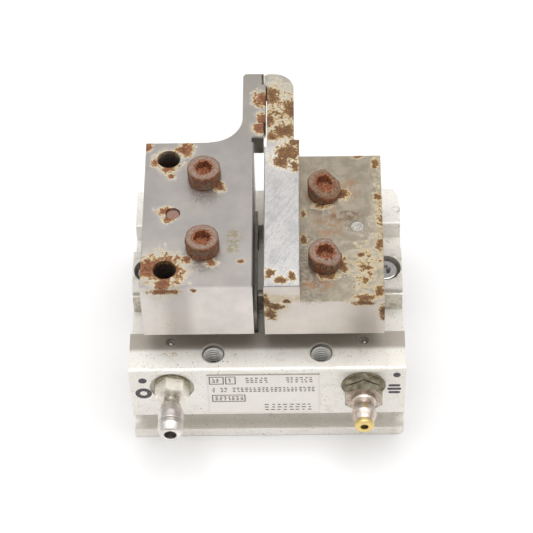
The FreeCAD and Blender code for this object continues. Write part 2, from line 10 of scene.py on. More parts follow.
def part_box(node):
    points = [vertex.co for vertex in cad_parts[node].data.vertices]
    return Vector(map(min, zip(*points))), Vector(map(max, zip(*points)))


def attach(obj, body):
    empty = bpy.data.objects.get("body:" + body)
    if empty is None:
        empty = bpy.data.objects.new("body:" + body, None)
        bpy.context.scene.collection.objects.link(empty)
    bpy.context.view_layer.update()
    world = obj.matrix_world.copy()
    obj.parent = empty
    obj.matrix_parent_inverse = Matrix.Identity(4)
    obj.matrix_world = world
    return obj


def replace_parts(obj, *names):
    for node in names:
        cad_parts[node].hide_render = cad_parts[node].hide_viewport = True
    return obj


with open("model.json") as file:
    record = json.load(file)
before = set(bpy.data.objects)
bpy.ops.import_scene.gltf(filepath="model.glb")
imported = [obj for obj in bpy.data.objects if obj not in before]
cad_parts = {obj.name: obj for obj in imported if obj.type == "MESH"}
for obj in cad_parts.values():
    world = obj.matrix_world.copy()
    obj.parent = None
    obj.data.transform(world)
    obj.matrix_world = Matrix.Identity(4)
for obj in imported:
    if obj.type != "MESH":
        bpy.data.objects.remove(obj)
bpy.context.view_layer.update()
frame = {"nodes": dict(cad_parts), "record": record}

MM = 0.001
nodes = frame["nodes"]
mounts = {m["name"]: m for m in frame["record"]["mounts"]}

# ---------------------------------------------------------------- places from the frame, in millimetres


def corners(node):
    low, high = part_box(node)
    return low / MM, high / MM


def middle(node):
    low, high = corners(node)
    return (low + high) / 2


BODY_LOW, BODY_HIGH = corners("body")
LEFT_LOW, LEFT_HIGH = corners("jaw_left")
RIGHT_LOW, RIGHT_HIGH = corners("jaw_right")
LABEL_LOW, LABEL_HIGH = corners("label_plate")
LEFT_PORT = middle("port_fitting_left")
RIGHT_PORT = middle("port_fitting_right")
RIGHT_TIP_Y = corners("port_fitting_right")[0].y
HOLES = mounts["body_holes"]["dims"]
TOOL_HOLES = mounts["jaw_tool_holes"]
TOOL_X = TOOL_HOLES["pos_m"][0] / MM
TOOL_Y = TOOL_HOLES["dims"]["spacing_y_mm"] / 2
SEAT_RIGHT = corners("dowel_right")[1].z       # top of the right jaw's low block
FRONT = BODY_LOW.y
BALL_R = 0.5
BALLS_LOW, BALLS_HIGH = corners("passage_balls")
BALLS = [(side * (BALLS_HIGH.x - BALL_R), BALLS_LOW.y + BALL_R, BODY_HIGH.z) for side in (-1, 1)]


# ---------------------------------------------------------------- material tools
class Shade:
    """One node material. Its coordinates are millimetres in the row frame, fixed to the piece."""

    def __init__(self, name):
        self.mat = bpy.data.materials.new(name)
        self.mat.use_nodes = True
        self.tree = self.mat.node_tree
        self.tree.nodes.clear()
        self.out = self.add("OutputMaterial")
        self.bsdf = self.add("BsdfPrincipled")
        self.tree.links.new(self.bsdf.outputs["BSDF"], self.out.inputs["Surface"])
        self.mm = self.vector("MULTIPLY", self.add("TexCoord").outputs["Object"], (1 / MM,) * 3)
        self.bumps = []

    def add(self, kind, **settings):
        node = self.tree.nodes.new("ShaderNode" + kind)
        for key, value in settings.items():
            setattr(node, key, value)
        return node

    def put(self, socket, value):
        if isinstance(value, bpy.types.NodeSocket):
            self.tree.links.new(value, socket)
        elif isinstance(value, tuple) and len(value) == 3 and socket.type == "RGBA":
            socket.default_value = (*value, 1)
        else:
            socket.default_value = value

    def vector(self, operation, a, b):
        node = self.add("VectorMath", operation=operation)
        self.put(node.inputs[0], a)
        self.put(node.inputs[1], b)
        return node.outputs["Value" if operation in ("DISTANCE", "LENGTH", "DOT_PRODUCT") else "Vector"]

    def math(self, operation, a, b=0.0, clamp=False):
        node = self.add("Math", operation=operation, use_clamp=clamp)
        self.put(node.inputs[0], a)
        self.put(node.inputs[1], b)
        return node.outputs[0]

    def axis(self, name):
        split = self.add("SeparateXYZ")
        self.put(split.inputs[0], self.mm)
        return split.outputs[name]

    def place(self, stretch, seed):
        stretched = self.vector("MULTIPLY", self.mm, stretch)
        return self.vector("ADD", stretched, (7.3 * seed, 3.1 * seed, 11.7 * seed))

    def noise(self, scale, detail=4.0, rough=0.55, stretch=(1, 1, 1), seed=0, distort=0.0):
        """Smooth noise from 0 to 1; scale is in waves per millimetre."""
        node = self.add("TexNoise")
        self.put(node.inputs["Vector"], self.place(stretch, seed))
        settings = {"Scale": scale, "Detail": detail, "Roughness": rough, "Distortion": distort}
        for key, value in settings.items():
            node.inputs[key].default_value = value
        return node.outputs[0]

    def cells(self, scale, seed=0, stretch=(1, 1, 1)):
        """Distance to the nearest of scattered points."""
        node = self.add("TexVoronoi")
        self.put(node.inputs["Vector"], self.place(stretch, seed))
        node.inputs["Scale"].default_value = scale
        return node.outputs["Distance"]

    def slanted(self, degrees, scale, seed):
        """Noise drawn out into streaks that lie at an angle to X on a level face."""
        turn = self.add("VectorRotate", rotation_type="Z_AXIS")
        self.put(turn.inputs["Vector"], self.mm)
        turn.inputs["Angle"].default_value = math.radians(degrees)
        node = self.add("TexNoise")
        self.put(node.inputs["Vector"], self.vector("MULTIPLY", turn.outputs[0], (0.16, 1.0, 1.0)))
        node.inputs["Scale"].default_value = scale
        node.inputs["Detail"].default_value = 5.0
        node.inputs["Distortion"].default_value = 0.01 * seed
        return node.outputs[0]

    def step(self, value, low, high, to_low=0.0, to_high=1.0):
        """Smooth change from to_low to to_high while value goes from low to high."""
        node = self.add("MapRange", interpolation_type="SMOOTHSTEP")
        for key, number in ((0, value), (1, low), (2, high), (3, to_low), (4, to_high)):
            self.put(node.inputs[key], number)
        return node.outputs[0]

    def mix(self, factor, a, b):
        node = self.add("Mix", data_type="RGBA")
        self.put(node.inputs[0], factor)
        self.put(node.inputs[6], a)
        self.put(node.inputs[7], b)
        return node.outputs[2]

    def blend(self, factor, a, b):
        """Number between a and b."""
        node = self.add("Mix", data_type="FLOAT")
        self.put(node.inputs[0], factor)
        self.put(node.inputs[2], a)
        self.put(node.inputs[3], b)
        return node.outputs[0]

    def spots(self, places):
        """1 at the middle of a place and 0 at its rim; a place is (x, y, z, reach in x, y, z)."""
        best = None
        for x, y, z, rx, ry, rz in places:
            scaled = self.vector("MULTIPLY", self.mm, (1 / rx, 1 / ry, 1 / rz))
            away = self.vector("DISTANCE", scaled, (x / rx, y / ry, z / rz))
            near = self.math("SUBTRACT", 1.0, away)
            best = near if best is None else self.math("MAXIMUM", best, near)
        return best

    def bump(self, height, distance):
        self.bumps.append((height, distance))

    def finish(self, color, rough, metal, **fixed):
        normal = None
        for height, distance in self.bumps:
            node = self.add("Bump")
            node.inputs["Distance"].default_value = distance * MM
            self.put(node.inputs["Height"], height)
            if normal is not None:
                self.put(node.inputs["Normal"], normal)
            normal = node.outputs[0]
        if normal is not None:
            self.put(self.bsdf.inputs["Normal"], normal)
        self.put(self.bsdf.inputs["Base Color"], color)
        self.put(self.bsdf.inputs["Roughness"], rough)
        self.put(self.bsdf.inputs["Metallic"], metal)
        for key, value in fixed.items():
            self.put(self.bsdf.inputs[key.replace("_", " ").title()], value)
        return self.mat


RED_RUST = ((0.100, 0.036, 0.020), (0.255, 0.096, 0.046), (0.390, 0.175, 0.085))
BROWN_RUST = ((0.070, 0.036, 0.018), (0.185, 0.092, 0.040), (0.320, 0.170, 0.070))
OCHRE = (0.480, 0.270, 0.065)
YELLOW = (0.690, 0.520, 0.180)
FILM = (0.480, 0.215, 0.075)
CREAM = (0.700, 0.650, 0.510)


def rust(s, field, color, rough, metal, seed=0, grain=1.0, halo=0.45, tones=RED_RUST):
    """Rust over a surface where field is above 0; returns colour, roughness and metal."""
    broad = s.noise(0.8 * grain, 3, 0.6, seed=seed + 1)
    ragged = s.noise(2.1 * grain, 4, 0.7, seed=seed + 2)
    crumbs = s.noise(6.0 * grain, 3, 0.7, seed=seed + 3)
    f = field
    for wave, share in ((broad, 1.0), (ragged, 1.6), (crumbs, 0.8)):
        f = s.math("ADD", f, s.math("MULTIPLY", s.math("SUBTRACT", wave, 0.5), share))
    stain = s.step(f, 0.02, 0.40)
    rim = s.step(f, 0.25, 0.40)
    core = s.step(f, 0.40, 0.60)
    tone = s.noise(3.4 * grain, 6, 0.75, seed=seed + 4)
    speck = s.noise(5.2 * grain, 3, 0.8, seed=seed + 5)
    ochre = s.mix(s.step(tone, 0.38, 0.62), OCHRE, YELLOW)
    brown = s.mix(s.step(tone, 0.37, 0.50), tones[0], tones[1])
    brown = s.mix(s.step(tone, 0.51, 0.68), brown, tones[2])
    brown = s.mix(s.math("MULTIPLY", s.step(speck, 0.53, 0.64), 0.65), brown, FILM)
    golden = s.step(s.noise(1.7 * grain, 5, 0.75, seed=seed + 6), 0.52, 0.66)
    brown = s.mix(s.math("MULTIPLY", golden, 0.40), brown, OCHRE)
    brown = s.mix(s.math("MULTIPLY", s.step(f, 0.68, 1.0), 0.55), brown, tones[0])
    color = s.mix(s.math("MULTIPLY", stain, halo), color, CREAM)
    color = s.mix(s.math("MULTIPLY", rim, 0.85), color, s.mix(s.step(f, 0.40, 0.52), ochre, FILM))
    color = s.mix(core, color, brown)
    rough = s.blend(s.math("MAXIMUM", s.math("MULTIPLY", stain, 0.6), core), rough, 0.82)
    metal = s.blend(s.math("MAXIMUM", s.math("MULTIPLY", stain, 0.5), rim), metal, 0.0)
    s.bump(s.math("MULTIPLY", core, s.math("ADD", 0.6, s.math("MULTIPLY", tone, 0.8))), 0.07)
    return color, rough, metal


def grains(s, amount, seed, size=1.0):
    """Sparse dark specks, 1 inside a speck; amount is the share of the cells that hold one."""
    far = s.cells(1.3 / size, seed)
    some = s.step(s.noise(0.9 / size, 2, seed=seed + 4), 1 - amount, 1.05 - amount)
    return s.math("MULTIPLY", s.step(far, 0.10, 0.20, 1.0, 0.0), some)


# ---------------------------------------------------------------- materials
def anodised_body():
    s = Shade("anodised_body")
    cloud = s.noise(0.09, 4, 0.6, seed=1)
    mottle = s.noise(0.9, 5, 0.7, seed=2)
    color = s.mix(s.step(cloud, 0.3, 0.7), (0.925, 0.890, 0.820), (0.970, 0.948, 0.900))
    color = s.mix(s.step(mottle, 0.52, 0.76), color, (0.800, 0.755, 0.670))
    port = s.spots([(p.x, FRONT, p.z, 4.6, 2.5, 4.2) for p in (LEFT_PORT, RIGHT_PORT)])
    rim = s.spots([(p.x, FRONT + 0.3, p.z, 3.6, 0.8, 3.6) for p in (LEFT_PORT, RIGHT_PORT)])
    grime = s.math("MULTIPLY", s.step(port, 0.0, 0.7), s.step(s.noise(1.6, 4, 0.6, seed=5), 0.42, 0.66))
    color = s.mix(s.math("MULTIPLY", grime, 0.22), color, (0.45, 0.40, 0.28))
    color = s.mix(s.math("MULTIPLY", s.step(rim, 0.05, 0.25), 0.55), color, (0.27, 0.25, 0.16))
    for seed, amount, size, tint in (
        (11, 0.52, 0.42, (0.20, 0.18, 0.15)),
        (12, 0.46, 0.7, (0.42, 0.25, 0.12)),
        (13, 0.40, 0.9, (0.13, 0.12, 0.11)),
    ):
        color = s.mix(s.math("MULTIPLY", grains(s, amount, seed, size), 0.75), color, tint)
    for ball in BALLS:
        ring = s.spots([(*ball, 0.78, 0.78, 0.5)])
        color = s.mix(s.math("MULTIPLY", s.step(ring, 0.05, 0.3), 0.8), color, (0.10, 0.09, 0.075))
    haze = s.step(s.noise(0.35, 4, 0.7, seed=14), 0.56, 0.72)
    color = s.mix(s.math("MULTIPLY", haze, 0.22), color, (0.62, 0.50, 0.33))
    blast = s.noise(5.5, 4, 0.75, seed=6)
    color = s.mix(s.step(blast, 0.54, 0.70, 0.0, 0.38), color, (0.42, 0.39, 0.34))
    top = BODY_HIGH.z
    # Painted shadow: a dark strip on the shoulder under the jaw fronts, tinted brown as dirt.
    jaw_shadow_and_dirt = s.spots([(0, FRONT + 5.1, top, 1e6, 1.9, 0.4)])
    color = s.mix(s.math("MULTIPLY", s.step(jaw_shadow_and_dirt, 0.0, 0.45), 0.68), color, (0.28, 0.23, 0.17))
    stamp = s.spots([(BODY_HIGH.x - 0.55, 12.1, top, 0.8, 0.8, 0.5)])
    groove = s.math("MULTIPLY", s.step(stamp, 0.12, 0.28), s.step(stamp, 0.45, 0.62, 1.0, 0.0))
    groove = s.math("MULTIPLY", groove, s.step(mottle, 0.40, 0.60, 0.2, 1.0))
    color = s.mix(s.math("MULTIPLY", groove, 0.45), color, (0.30, 0.26, 0.21))
    # Painted shade: the walls inside the groove behind the front face are darkened.
    behind_front = s.step(s.axis("Y"), FRONT + 0.2, FRONT + 0.5)
    slot = s.math("MULTIPLY", behind_front, s.step(s.axis("Z"), 5.6, 6.0, 1.0, 0.0))
    slot = s.math("MULTIPLY", slot, s.step(s.axis("Y"), FRONT + 3.4, FRONT + 3.8, 1.0, 0.0))
    inside = s.step(s.math("ABSOLUTE", s.axis("X")), BODY_HIGH.x - 0.10, BODY_HIGH.x - 0.04, 1.0, 0.0)
    slot = s.math("MULTIPLY", slot, inside)
    color = s.mix(s.math("MULTIPLY", slot, 0.25), color, (0.44, 0.41, 0.37))
    scrape = s.step(s.spots([(-12.8, FRONT + 2.9, top, 1.1, 0.45, 0.3)]), 0.0, 0.5)
    scrape = s.math("MULTIPLY", scrape, s.step(s.noise(2.0, 4, 0.7, seed=15), 0.46, 0.60))
    color = s.mix(s.math("MULTIPLY", scrape, 0.6), color, (0.50, 0.32, 0.12))
    rubbed = s.step(s.spots([(-3.0, FRONT + 0.2, top, 1.6, 0.5, 0.5)]), 0.1, 0.6)
    color = s.mix(s.math("MULTIPLY", rubbed, 0.7), color, (0.98, 0.97, 0.94))
    s.bump(s.math("SUBTRACT", blast, groove), 0.03)
    s.bump(s.noise(2.2, 3, 0.5, seed=7), 0.02)
    return s.finish(color, s.blend(mottle, 0.40, 0.56), s.blend(grime, 0.34, 0.15))


def ground_steel(s, light, dark, rough, lines=0.5):
    """Colour, roughness and metal of a ground face, with fine grinding lines along X."""
    line = s.noise(1.0, 3, 0.6, stretch=(0.12, 9, 9), seed=21)
    cloud = s.noise(0.14, 4, 0.65, seed=22)
    smear = s.noise(0.8, 6, 0.7, seed=23)
    color = s.mix(s.step(cloud, 0.32, 0.68), dark, light)
    color = s.mix(s.math("MULTIPLY", s.step(smear, 0.5, 0.75), 0.3), color, dark)
    s.bump(line, 0.006 * lines)
    s.bump(smear, 0.01)
    return color, s.blend(line, rough - 0.06, rough + 0.08), 1.0


def jaw_left_steel():
    s = Shade("jaw_left_steel")
    color, rough, metal = ground_steel(s, (0.700, 0.655, 0.610), (0.590, 0.555, 0.525), 0.36)
    top, low = LEFT_HIGH.z, LEFT_LOW.y
    screw = middle("jaw_screw_left_front")
    field = s.spots([
        (TOOL_X, -TOOL_Y, top, 4.2, 4.2, 4.0),
        (TOOL_X - 2.3, -TOOL_Y + 0.2, top, 2.6, 2.4, 3.0),
        (TOOL_X - 0.2, -TOOL_Y - 2.3, top, 1.9, 1.6, 1.4),
        (TOOL_X, TOOL_Y - 1.5, top, 1.8, 1.7, 1.2),
        (TOOL_X + 2.2, TOOL_Y + 1.7, top, 2.0, 1.8, 1.4),
        (TOOL_X - 1.8, TOOL_Y - 0.6, top, 1.0, 1.1, 1.0),
        (TOOL_X + 0.4, TOOL_Y - 3.1, top, 0.9, 0.9, 1.0),
        (LEFT_LOW.x + 0.3, TOOL_Y + 2.4, top, 1.0, 1.3, 1.0),
        (middle("dowel_left").x - 1.1, 0.5, top, 1.7, 1.2, 1.0),
        (middle("dowel_left").x - 0.7, -1.0, top, 1.2, 1.0, 1.0),
        (TOOL_X, low, top - 0.9, 3.3, 1.0, 0.85),
        (TOOL_X + 3.9, low, top - 0.7, 0.6, 0.6, 0.5),
        (screw.x - 2.0, screw.y - 1.8, top, 1.0, 1.0, 0.8),
        (screw.x + 1.1, screw.y - 2.4, top, 1.2, 1.0, 0.8),
        (screw.x + 2.1, -screw.y - 1.4, top, 1.1, 1.3, 0.8),
        (-0.5, 20.8, top, 1.8, 2.3, 3.5),
        (-0.5, 17.2, top, 1.4, 1.9, 3.0),
        (-0.9, 15.3, top, 1.5, 1.5, 2.0),
        (-3.2, screw.y - 2.3, top, 0.6, 0.5, 0.5),
        (TOOL_X, -TOOL_Y, top - 6.5, 3.0, 3.0, 12.0),
        (TOOL_X, TOOL_Y, top - 6.5, 3.0, 3.0, 12.0),
    ])
    tip = s.step(s.axis("Y"), 12.4, 15.5)
    color = s.mix(s.math("MULTIPLY", tip, 0.35), color, (0.62, 0.58, 0.47))
    oil = s.spots([(-4.1, -4.3, top, 1.5, 2.0, 1.0), (-4.3, -6.2, top, 1.3, 1.2, 1.0)])
    stain = s.math("MULTIPLY", s.step(oil, 0.0, 0.6), s.step(s.noise(1.5, 4, 0.65, seed=31), 0.40, 0.58))
    color = s.mix(s.math("MULTIPLY", stain, 0.65), color, (0.47, 0.38, 0.16))
    dots = s.math("MULTIPLY", s.step(oil, 0.1, 0.5), s.step(s.cells(2.4, 35), 0.10, 0.20, 1.0, 0.0))
    color = s.mix(s.math("MULTIPLY", dots, 0.7), color, (0.20, 0.12, 0.05))
    # Painted reflection: a soft darker vertical band on the front face, the port fitting mirrored in it.
    painted_reflection_band = s.step(s.spots([(-11.3, low, 0, 2.6, 0.6, 1e6)]), 0.0, 0.8)
    color = s.mix(s.math("MULTIPLY", painted_reflection_band, 0.45), color, (0.34, 0.31, 0.30))
    deep = s.spots([(TOOL_X, y, top - 6.3, 2.2, 2.2, 20) for y in (-TOOL_Y, TOOL_Y)])
    dust = s.spots([(screw.x, y - 3.2, top, 3.2, 1.9, 1.0) for y in (screw.y, -screw.y)])
    dusty = s.math("MULTIPLY", s.step(dust, 0.05, 0.5), s.step(s.cells(2.6, 33), 0.22, 0.42, 1.0, 0.0))
    color = s.mix(s.math("MULTIPLY", dusty, 0.55), color, (0.80, 0.79, 0.74))
    shade = s.math("MULTIPLY", s.step(dust, 0.1, 0.9), s.step(s.noise(2.6, 3, seed=34), 0.45, 0.7))
    color = s.mix(s.math("MULTIPLY", shade, 0.5), color, (0.20, 0.20, 0.19))
    color, rough, metal = rust(s, field, color, rough, metal, seed=40)
    sunk = s.math("MULTIPLY", s.step(deep, 0.20, 0.26), s.step(s.axis("Z"), top - 0.8, top - 0.1, 1.0, 0.0))
    color = s.mix(s.math("MULTIPLY", sunk, 0.93), color, (0.026, 0.011, 0.008))
    return s.finish(color, s.blend(sunk, rough, 0.95), s.blend(sunk, metal, 0.0))


def jaw_right_steel():
    s = Shade("jaw_right_steel")
    color, rough, metal = ground_steel(s, (0.665, 0.610, 0.555), (0.580, 0.535, 0.485), 0.38)
    top, seat, low, out = RIGHT_HIGH.z, SEAT_RIGHT, RIGHT_LOW.y, RIGHT_HIGH.x
    height = s.axis("Z")
    along = s.axis("Y")
    block = s.step(height, seat + 1.2, seat + 1.6, 1.0, 0.0)
    level = s.math("MULTIPLY", block, s.step(height, seat - 0.14, seat - 0.06))
    mottle = s.noise(0.75, 5, 0.7, seed=57)
    patchy = s.mix(s.step(mottle, 0.38, 0.60), (0.480, 0.415, 0.315), (0.610, 0.535, 0.425))
    color = s.mix(level, color, patchy)
    # Painted reflection: a soft darker vertical band on the front face.
    painted_reflection_band = s.step(s.spots([(13.4, low, 0, 2.6, 0.6, 1e6)]), 0.0, 0.8)
    color = s.mix(s.math("MULTIPLY", painted_reflection_band, 0.40), color, (0.36, 0.33, 0.31))
    rib_top = s.step(height, top - 0.10, top - 0.05)
    dull = s.step(s.spots([(1.2, low, top - 3.6, 2.8, 0.8, 3.2)]), 0.0, 0.7)
    dull = s.math("MULTIPLY", dull, s.step(s.noise(1.4, 4, 0.7, seed=48), 0.36, 0.60))
    color = s.mix(s.math("MULTIPLY", dull, 0.55), color, (0.42, 0.34, 0.21))
    patches = s.noise(0.35, 4, 0.6, stretch=(1, 0.7, 1), seed=51)
    bright = s.mix(patches, (1.0, 0.97, 0.93), (0.86, 0.84, 0.83))
    color = s.mix(s.math("MULTIPLY", rib_top, s.step(along, 10.5, 13.5, 1.0, 0.35)), color, bright)
    clean = s.math("MULTIPLY", rib_top, s.step(along, 8.0, 11.0, 1.0, 0.0))
    smear = s.step(s.noise(0.42, 5, 0.6, stretch=(1.2, 0.8, 1), seed=58), 0.47, 0.66)
    color = s.mix(s.math("MULTIPLY", s.math("MULTIPLY", smear, clean), 0.42), color, (0.57, 0.565, 0.575))
    for angle, seed, scale, low_edge, share in ((-57, 52, 1.6, 0.54, 0.24), (-66, 53, 9.0, 0.50, 0.34),
                                                (33, 56, 8.0, 0.56, 0.26)):
        lines = s.slanted(angle, scale, seed)
        mark = s.math("MULTIPLY", s.step(lines, low_edge, low_edge + 0.10), clean)
        color = s.mix(s.math("MULTIPLY", mark, share), color, (0.46, 0.46, 0.48))
    edge = s.math("MULTIPLY", rib_top, s.step(along, low + 0.10, low + 0.24, 1.0, 0.0))
    color = s.mix(s.math("MULTIPLY", edge, 0.7), color, (0.20, 0.18, 0.17))
    tip = s.step(along, 11.6, 14.2)
    color = s.mix(s.math("MULTIPLY", tip, 0.55), color, (0.70, 0.66, 0.55))
    # Darker ground along the foot of the rib on the block: pits, and painted shadow of the rib.
    pits_and_rib_shadow = s.math("MULTIPLY", block, s.step(s.spots([(6.0, -7.0, seat, 3.8, 9.0, 2.0)]), 0.05, 0.6))
    pits_and_rib_shadow = s.math("MULTIPLY", pits_and_rib_shadow, s.step(s.noise(2.2, 5, 0.75, seed=54), 0.43, 0.62))
    color = s.mix(s.math("MULTIPLY", pits_and_rib_shadow, 0.75), color, (0.22, 0.21, 0.18))
    front, rear = middle("jaw_screw_right_front"), middle("jaw_screw_right_rear")
    warm = s.spots([
        (front.x + 0.4, 0.6, seat, 3.0, 3.4, 1.0),
        (rear.x + 3.3, rear.y + 0.4, seat, 2.2, 2.6, 1.0),
        (front.x - 1.0, front.y - 3.6, seat, 3.2, 1.8, 1.0),
        (front.x, front.y, seat, 3.4, 3.4, 1.0),
        (rear.x, rear.y, seat, 3.6, 3.2, 1.0),
    ])
    warmth = s.math("MULTIPLY", s.step(warm, 0.0, 0.6), s.step(s.noise(0.9, 5, 0.7, seed=55), 0.42, 0.62))
    color = s.mix(s.math("MULTIPLY", warmth, 0.66), color, (0.58, 0.29, 0.155))
    smudge = s.spots([(rear.x + 2.9, rear.y - 4.2, seat, 2.9, 1.2, 0.6)])
    brown = s.math("MULTIPLY", s.step(smudge, 0.0, 0.5), s.step(s.noise(1.6, 4, 0.7, seed=59), 0.38, 0.58))
    color = s.mix(s.math("MULTIPLY", brown, 0.7), color, (0.27, 0.165, 0.095))
    dowel = middle("dowel_right")
    scuffed = s.spots([
        (dowel.x, dowel.y, seat, 2.3, 2.0, 0.6),
        (front.x - 0.5, rear.y - 3.3, seat, 2.0, 1.3, 0.6),
        (front.x + 1.6, front.y - 2.6, seat, 2.0, 1.3, 0.6),
    ])
    smoky = s.math("MULTIPLY", s.step(scuffed, 0.1, 0.7), s.step(s.noise(1.8, 4, 0.7, seed=49), 0.40, 0.60))
    color = s.mix(s.math("MULTIPLY", smoky, 0.45), color, (0.30, 0.27, 0.22))
    shards = s.math("MULTIPLY", s.step(scuffed, 0.05, 0.35), s.step(s.cells(2.3, 50), 0.15, 0.26, 1.0, 0.0))
    color = s.mix(s.math("MULTIPLY", shards, 0.75), color, (0.90, 0.87, 0.80))
    field = s.spots([
        (0.8, 21.3, top, 1.9, 2.7, 3.0),
        (3.4, 18.7, top, 2.0, 3.2, 3.0),
        (0.4, 16.8, top, 1.3, 2.0, 3.0),
        (2.6, 14.7, top, 2.9, 2.3, 3.0),
        (0.9, 13.6, top, 1.3, 1.4, 2.0),
        (4.0, 12.5, top, 1.3, 1.4, 2.0),
        (3.1, 10.5, top, 2.9, 2.6, 1.5),
        (2.2, 9.0, top, 2.3, 1.7, 1.0),
        (3.9, 8.2, top, 1.0, 1.5, 1.0),
        (0.6, -10.4, top, 1.1, 1.1, 0.7),
        (2.1, -11.6, top, 1.6, 0.9, 0.6),
        (3.5, -11.0, top, 0.8, 1.2, 0.6),
        (1.3, low, top - 4.1, 1.9, 1.0, 1.0),
        (0.1, low, top - 3.2, 0.8, 1.0, 2.4),
        (0.6, low, top - 5.6, 1.3, 1.0, 1.9),
        (2.8, low, top - 3.0, 0.9, 1.0, 0.7),
        (out - 0.7, 11.3, seat, 1.0, 1.3, 0.9),
        (out - 0.5, 5.2, seat, 0.9, 1.2, 0.9),
        (out - 0.4, -3.2, seat, 0.9, 1.7, 0.9),
        (12.6, -5.0, seat, 0.8, 0.6, 0.6),
        (13.5, -7.2, seat, 0.8, 0.6, 0.6),
        (13.2, -9.2, seat, 0.7, 0.8, 0.6),
        (13.2, -12.2, seat, 2.0, 1.0, 0.6),
        (out - 0.6, -11.2, seat, 1.0, 1.6, 0.8),
        (12.9, low, seat - 0.4, 2.6, 1.0, 0.75),
        (out - 0.2, low, seat - 2.2, 0.8, 1.2, 2.6),
        (12.4, 12.8, seat, 1.3, 0.8, 0.7),
        (5.1, 2.3, seat, 0.6, 1.2, 0.8),
        (5.1, -2.1, seat, 0.7, 1.3, 0.8),
        (front.x + 0.4, front.y - 2.3, seat, 2.0, 1.0, 0.6),
        (front.x + 2.3, front.y - 0.6, seat, 1.1, 1.8, 0.6),
        (rear.x + 2.5, rear.y - 0.4, seat, 1.4, 1.6, 0.6),
        (rear.x - 0.4, rear.y - 2.4, seat, 1.8, 0.8, 0.6),
    ])
    scatter = s.math("MULTIPLY", s.spots([(1.8, 18.0, top, 5.0, 9.0, 9.0)]), 0.42)
    peppered = s.spots([(13.2, -7.2, seat, 2.6, 5.5, 0.8), (out, 1.0, seat, 1.6, 12.0, 1.0)])
    scatter = s.math("MAXIMUM", scatter, s.math("MULTIPLY", peppered, 0.46))
    field = s.math("MAXIMUM", field, scatter)
    color, rough, metal = rust(s, field, color, rough, metal, 60, grain=1.15, halo=0.6, tones=BROWN_RUST)
    return s.finish(color, rough, metal)


def rusted_screws():
    """Bare worn rims, red-brown walls and orange sockets, told apart by distance from each screw's axis."""
    s = Shade("rusted_screws")
    reach, endless = 5.0, 1e6
    heads = [middle(f"jaw_screw_{side}_{row}") for side in SIDES for row in ("front", "rear")]
    near = s.spots([(c.x, c.y, 0, reach, reach, endless) for c in heads])
    radius = s.math("MULTIPLY", s.math("SUBTRACT", 1.0, near), reach)
    broad = s.noise(0.9, 5, 0.7, seed=71)
    fine = s.noise(3.6, 6, 0.75, seed=72)
    wander = s.math("ADD", radius, s.math("MULTIPLY", s.math("SUBTRACT", fine, 0.5), 1.1))
    wall = s.mix(s.step(fine, 0.42, 0.60), (0.095, 0.038, 0.020), (0.330, 0.140, 0.066))
    wall = s.mix(s.step(broad, 0.50, 0.64), wall, (0.190, 0.150, 0.105))
    rim = s.mix(s.step(fine, 0.42, 0.60), (0.225, 0.145, 0.106), (0.365, 0.268, 0.212))
    rear = middle("jaw_screw_right_rear")
    broken = s.step(s.spots([(rear.x + 0.3, rear.y - 0.3, 0, 2.6, 2.6, endless)]), 0.0, 0.3)
    rough_face = s.mix(s.step(fine, 0.40, 0.62), (0.120, 0.066, 0.036), (0.300, 0.185, 0.105))
    rim = s.mix(s.math("MULTIPLY", broken, 0.85), rim, rough_face)
    socket = s.mix(s.step(fine, 0.40, 0.62), (0.120, 0.036, 0.018), (0.440, 0.165, 0.070))
    color = s.mix(s.step(wander, 1.95, 2.15), rim, wall)
    color = s.mix(s.step(wander, 1.25, 1.50, 1.0, 0.0), color, socket)
    on_rim = s.math("MULTIPLY", s.step(wander, 1.4, 1.7), s.step(wander, 2.0, 2.2, 1.0, 0.0))
    bare = s.math("MULTIPLY", on_rim, s.step(fine, 0.50, 0.66))
    bare = s.math("MULTIPLY", bare, s.math("SUBTRACT", 1.0, broken))
    s.bump(fine, 0.06)
    s.bump(s.noise(14, 4, 0.7, seed=73), 0.015)
    return s.finish(color, s.blend(bare, 0.80, 0.45), s.math("MULTIPLY", bare, 0.6))


def thread_metal():
    """Bright crests over roots darkened with painted shade, told apart by distance from each hole's axis.
    """
    s = Shade("thread_metal")
    half_x, half_y, reach = HOLES["spacing_x_mm"] / 2, HOLES["spacing_y_mm"] / 2, 4.0
    near = s.spots([(x, y, 0, reach, reach, 1e6) for x in (-half_x, half_x) for y in (-half_y, half_y)])
    radius = s.math("MULTIPLY", s.math("SUBTRACT", 1.0, near), reach)
    root = HOLES["hole_r_mm"]
    # Painted shade in the thread roots.
    root_shade = s.step(radius, root - 0.21, root - 0.10)
    color = s.mix(root_shade, (0.95, 0.93, 0.89), (0.15, 0.135, 0.115))
    cloud = s.noise(3.0, 4, 0.6, seed=97)
    s.bump(cloud, 0.01)
    return s.finish(color, s.blend(cloud, 0.32, 0.46), s.blend(root_shade, 0.55, 0.1))


def dowel_steel(name, light, dark, ring, seed):
    """End of a dowel: scuffed face and a dirty rim."""
    s = Shade(name)
    scuff = s.noise(2.6, 6, 0.75, stretch=(1.6, 0.8, 1), seed=seed)
    color = s.mix(s.step(scuff, 0.38, 0.60), dark, light)
    node = "dowel_left" if name.endswith("left") else "dowel_right"
    centre, reach = middle(node), 2.0
    rim = s.step(s.spots([(centre.x, centre.y, 0, reach, reach, 1e6)]), 0.53, 0.63, 1.0, 0.0)
    color = s.mix(rim, color, ring)
    s.bump(scuff, 0.03)
    return s.finish(color, s.blend(scuff, 0.4, 0.75), s.step(scuff, 0.4, 0.6, 0.3, 0.7))


